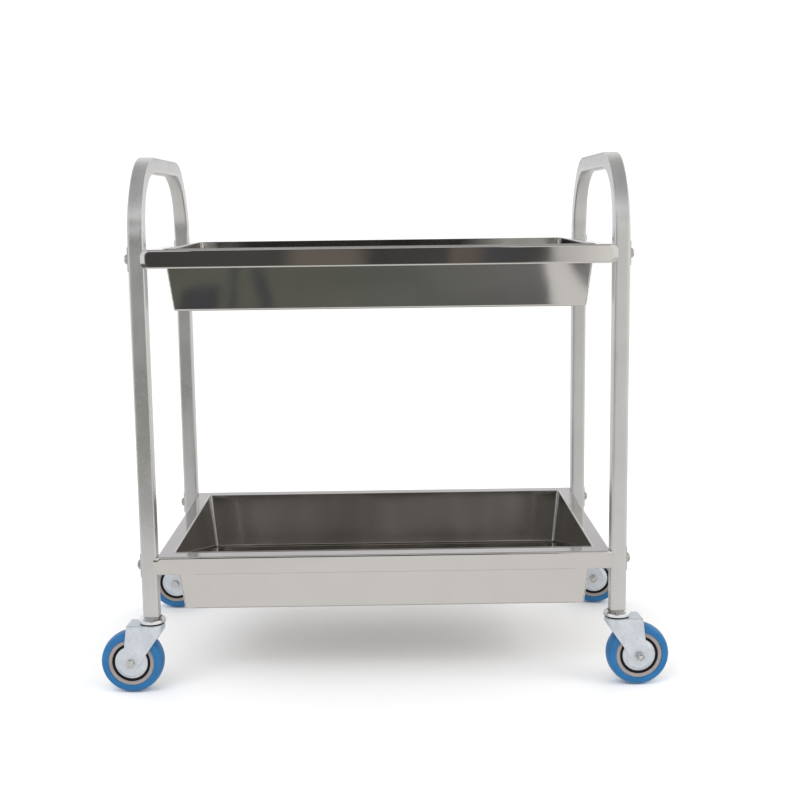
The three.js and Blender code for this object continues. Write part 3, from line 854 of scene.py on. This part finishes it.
def castor(name):
    """One castor, turned to the rest heading that its two joints' places give."""
    swivel = Vector(joints[f"{name}_swivel_turn"]["pos_m"])
    hub = Vector(joints[f"{name}_wheel_roll"]["pos_m"])
    trail = hub - swivel
    heading = math.atan2(trail.y, trail.x)
    reach = math.hypot(trail.x, trail.y)
    upright = Matrix.Translation((swivel.x, swivel.y, 0))
    turning = upright @ Matrix.Rotation(heading, 4, "Z")
    wheel = turning @ Matrix.Translation((reach, 0, hub.z))
    top = swivel.z
    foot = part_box("left_side_frame")[0].z
    swivel_head(name, upright, foot, top)
    fork(name, f"{name}_swivel", turning, top, reach, hub.z)
    axle(name, f"{name}_swivel", wheel)
    dust_cover(name, "a", 1, f"{name}_swivel", wheel)
    dust_cover(name, "b", -1, f"{name}_swivel", wheel)
    tyre(name, f"{name}_wheel", wheel)
    wheel_core(name, f"{name}_wheel", wheel)


# ---------------------------------------------------------------- studio
def ramp(tree, value, low, high, stops):
    """A colour that follows a value through stops of (value, colour) between low and high."""
    scaled = tree.nodes.new("ShaderNodeMapRange")
    scaled.inputs["From Min"].default_value = low
    scaled.inputs["From Max"].default_value = high
    tree.links.new(value, scaled.inputs["Value"])
    node = tree.nodes.new("ShaderNodeValToRGB")
    elements = node.color_ramp.elements
    while len(elements) < len(stops):
        elements.new(1.0)
    for element, (at, colour) in zip(elements, stops):
        element.position = (at - low) / (high - low)
        element.color = (*colour, 1)
    tree.links.new(scaled.outputs["Result"], node.inputs["Fac"])
    return node.outputs["Color"]


def product(tree, first, second):
    """Two colours multiplied."""
    node = tree.nodes.new("ShaderNodeMix")
    node.data_type = "RGBA"
    node.blend_type = "MULTIPLY"
    node.inputs["Factor"].default_value = 1.0
    socket_a, socket_b = [s for s in node.inputs if s.type == "RGBA"]
    tree.links.new(first, socket_a)
    tree.links.new(second, socket_b)
    return next(s for s in node.outputs if s.type == "RGBA")


def emission(name, stops, scale):
    """A glowing card with tones that follow X in metres, and soft shapes drifting over them."""
    material = bpy.data.materials.new(name)
    material.use_nodes = True
    tree = material.node_tree
    tree.nodes.clear()
    place = tree.nodes.new("ShaderNodeTexCoord").outputs["Object"]
    parts = tree.nodes.new("ShaderNodeSeparateXYZ")
    tree.links.new(place, parts.inputs[0])
    tones = ramp(tree, parts.outputs["X"], stops[0][0], stops[-1][0], stops)
    noise = tree.nodes.new("ShaderNodeTexNoise")
    noise.inputs["Scale"].default_value = scale
    noise.inputs["Detail"].default_value = 1.5
    tree.links.new(place, noise.inputs["Vector"])
    shapes = ramp(tree, noise.outputs["Fac"], 0, 1, [(0.38, (0.85, 0.85, 0.85)), (0.62, (1, 1, 1))])
    glow = tree.nodes.new("ShaderNodeEmission")
    tree.links.new(product(tree, tones, shapes), glow.inputs["Color"])
    output = tree.nodes.new("ShaderNodeOutputMaterial")
    tree.links.new(glow.outputs["Emission"], output.inputs["Surface"])
    return material


def card(name, corners, material):
    """A studio flag that only shows in reflections."""
    mesh = bpy.data.meshes.new(name)
    mesh.from_pydata(corners, [], [(0, 1, 2, 3)])
    mesh.materials.append(material)
    made = bpy.data.objects.new(name, mesh)
    bpy.context.scene.collection.objects.link(made)
    made.visible_camera = False
    made.visible_diffuse = False
    made.visible_shadow = False
    made.visible_transmission = False


def floor():
    size = 30.0
    mesh = bpy.data.meshes.new("floor")
    mesh.from_pydata([(-size, -size, 0), (size, -size, 0), (size, size, 0), (-size, size, 0)],
                     [], [(0, 1, 2, 3)])
    material = Finish("floor_paint", Metallic=0.0, Specular_IOR_Level=0.2)
    tone = material.noise(0.8, detail=3.0)
    material.colour(material.mix(tone, (0.93, 0.93, 0.93), (0.95, 0.95, 0.95)))
    material.roughness(material.map(tone, 0.3, 0.7, 0.6, 0.75))
    mesh.materials.append(material.material)
    made = bpy.data.objects.new("floor", mesh)
    bpy.context.scene.collection.objects.link(made)


def studio_world():
    """White to the eye and as light; to the steel, white walls under a dark ceiling."""
    world = bpy.data.worlds.new("studio")
    bpy.context.scene.world = world
    world.use_nodes = True
    tree = world.node_tree
    tree.nodes.clear()
    new, link = tree.nodes.new, tree.links.new
    parts = new("ShaderNodeSeparateXYZ")
    link(new("ShaderNodeTexCoord").outputs["Generated"], parts.inputs[0])
    sides = ramp(tree, parts.outputs["X"], -1, 1, [(-1.0, (0.90, 0.93, 1.0)), (-0.3, (0.95, 0.96, 1.0)),
                                                  (0.3, (1.0, 0.99, 0.97)), (1.0, (1.25, 1.23, 1.2))])
    heights = ramp(tree, parts.outputs["Z"], -1, 1, [(-1.0, (0.9, 0.9, 0.9)), (0.0, (1.0, 1.0, 1.0)),
                                                    (0.56, (0.95, 0.95, 0.95)), (0.80, (0.42, 0.42, 0.42)),
                                                    (1.0, (0.32, 0.32, 0.32))])
    room = new("ShaderNodeBackground")
    link(product(tree, sides, heights), room.inputs["Color"])
    plain = new("ShaderNodeBackground")
    plain.inputs["Color"].default_value = (1, 1, 1, 1)
    plain.inputs["Strength"].default_value = 1.1
    chosen = new("ShaderNodeMixShader")
    link(new("ShaderNodeLightPath").outputs["Is Glossy Ray"], chosen.inputs["Fac"])
    link(plain.outputs[0], chosen.inputs[1])
    link(room.outputs[0], chosen.inputs[2])
    link(chosen.outputs[0], new("ShaderNodeOutputWorld").inputs["Surface"])


def softbox(name, place, target, size, watts, colour):
    """A soft lamp aimed at a target, which polished steel doesn't mirror."""
    data = bpy.data.lights.new(name, "AREA")
    data.shape = "RECTANGLE"
    data.size, data.size_y = size
    data.energy = watts
    data.color = colour
    light = bpy.data.objects.new(name, data)
    light.location = place
    light.rotation_mode = "QUATERNION"
    light.rotation_quaternion = (Vector(target) - Vector(place)).to_track_quat("-Z", "Y")
    light.visible_glossy = False
    bpy.context.scene.collection.objects.link(light)


def studio():
    """Flags give the polished trays the dim room that they mirror in front of the cart."""
    bpy.context.scene.view_settings.view_transform = "Standard"
    studio_world()
    floor()
    dim, brown, black = (0.082, 0.080, 0.078), (0.19, 0.17, 0.148), (0.050, 0.048, 0.045)
    # Tones by X: the dim wall opens into a pale room on the right.
    pale = [(1.01, dim), (1.04, (0.70, 0.70, 0.68)), (1.15, (0.76, 0.75, 0.73)),
            (1.35, (1.02, 1.01, 0.98)), (1.8, (1.20, 1.18, 1.14))]
    grey = (0.42, 0.43, 0.45)
    low_room = emission("low_room", [(-2.9, grey), (-2.0, grey), (-1.75, dim), (-0.62, dim),
                                     (-0.56, brown), (-0.2, brown),
                                     (-0.1, (0.07, 0.067, 0.064)), (0.36, (0.075, 0.075, 0.078)),
                                     (0.40, (0.17, 0.145, 0.125)), (0.54, (0.15, 0.13, 0.115)),
                                     (0.58, (0.085, 0.086, 0.094))] + pale, 0.7)
    mid_room = emission("mid_room", [(-1.2, black), (0.75, black)], 0.7)
    high_room = emission("high_room", [(-2.9, brown), (1.8, brown)], 0.7)
    dark_floor = emission("dark_floor", [(-2.9, (0.17, 0.17, 0.15)), (-0.4, (0.15, 0.155, 0.13)),
                                         (0.10, (0.155, 0.16, 0.145)), (0.6, (0.21, 0.21, 0.21))], 1.6)
    stand = emission("stand", [(-1.0, (0.085, 0.085, 0.095)), (0.3, (0.10, 0.10, 0.11)),
                               (0.6, (0.13, 0.13, 0.14)), (0.8, (0.13, 0.13, 0.14))], 2.0)
    pale_floor = emission("pale_floor", [(-8.0, (0.86, 0.85, 0.84)), (8.0, (0.88, 0.86, 0.84))], 0.5)
    pale_back = emission("pale_back", [(-2.5, (0.78, 0.775, 0.80)), (2.5, (0.74, 0.73, 0.76))], 0.5)
    shade = emission("shade", [(-0.36, (0.45, 0.44, 0.43)), (0.36, (0.45, 0.44, 0.43))], 1.0)
    front = -6.0
    for name, left, right, low, high, material in (
            ("flag_low", -2.9, 1.8, 0.0, 1.5, low_room), ("flag_mid", -1.2, 0.75, 1.5, 3.0, mid_room),
            ("flag_high", -2.9, 1.8, 3.0, 4.0, high_room)):
        card(name, [(left, front, low), (right, front, low), (right, front, high),
                    (left, front, high)], material)
    card("flag_floor", [(-2.9, -1.4, 0.004), (0.466, -1.4, 0.004), (0.833, front, 0.004),
                        (-2.9, front, 0.004)], dark_floor)
    # Two legs of a stand, a case beside it and one on the right, all dark on the floor.
    for name, corners in (
            ("stand_left", [(-0.535, -2.7), (-0.505, -2.7), (-0.452, -2.0), (-0.475, -2.0)]),
            ("stand_right", [(-0.480, -2.7), (-0.460, -2.7), (-0.315, -2.0), (-0.370, -2.0)]),
            ("case_left", [(-0.655, -2.28), (-0.53, -2.31), (-0.50, -2.0), (-0.64, -2.0)]),
            ("case_right", [(0.625, -2.95), (0.72, -2.95), (0.690, -2.20), (0.650, -2.20)])):
        card(name, [(x, y, 0.0045) for x, y in corners], stand)
    card("flag_back", [(-2.5, 6, 1.0), (2.5, 6, 1.0), (2.5, 6, 2.4), (-2.5, 6, 2.4)], pale_back)
    card("flag_shade", [(-0.33, -0.27, 0.0035), (0.33, -0.27, 0.0035), (0.33, 0.26, 0.0035),
                        (-0.33, 0.26, 0.0035)], shade)
    card("flag_pale_floor", [(-8, -8, 0.003), (8, -8, 0.003), (8, 8, 0.003), (-8, 8, 0.003)], pale_floor)
    softbox("key", (-1.6, -2.6, 3.2), (0, 0, 0.5), (2.4, 2.4), 45, (0.93, 0.96, 1.0))
    softbox("fill", (2.8, -1.6, 2.2), (0, 0, 0.4), (2.0, 2.0), 30, (1.0, 0.98, 0.94))


add_camera()

TUBE_STEEL = tube_steel()
TRAY_STEEL = tray_steel()
PAN_STEEL_SHADED = pan_steel_shaded()
WELD_STEEL = weld_steel()
ZINC_STEEL = zinc_steel()
CHROME = chrome()
BOLT_STEEL = bolt_steel("bolt_steel", (0.30, 0.29, 0.28), (0.56, 0.55, 0.54))
ZINC_BOLT = bolt_steel("zinc_bolt", (0.46, 0.46, 0.455), (0.68, 0.68, 0.67))
TYRE_RUBBER = tyre_rubber()
CORE_PLASTIC = core_plastic()
GAP_SHADE_BLACK = gap_shade_black()

for side_name, side_sign in SIDES.items():
    side_frame(side_name, side_sign)
for tray_level in ("upper", "lower"):
    tray(tray_level)
    for corner_name in CORNERS:
        tray_fasteners(tray_level, corner_name)
for corner_name in CORNERS:
    castor(corner_name)

studio()
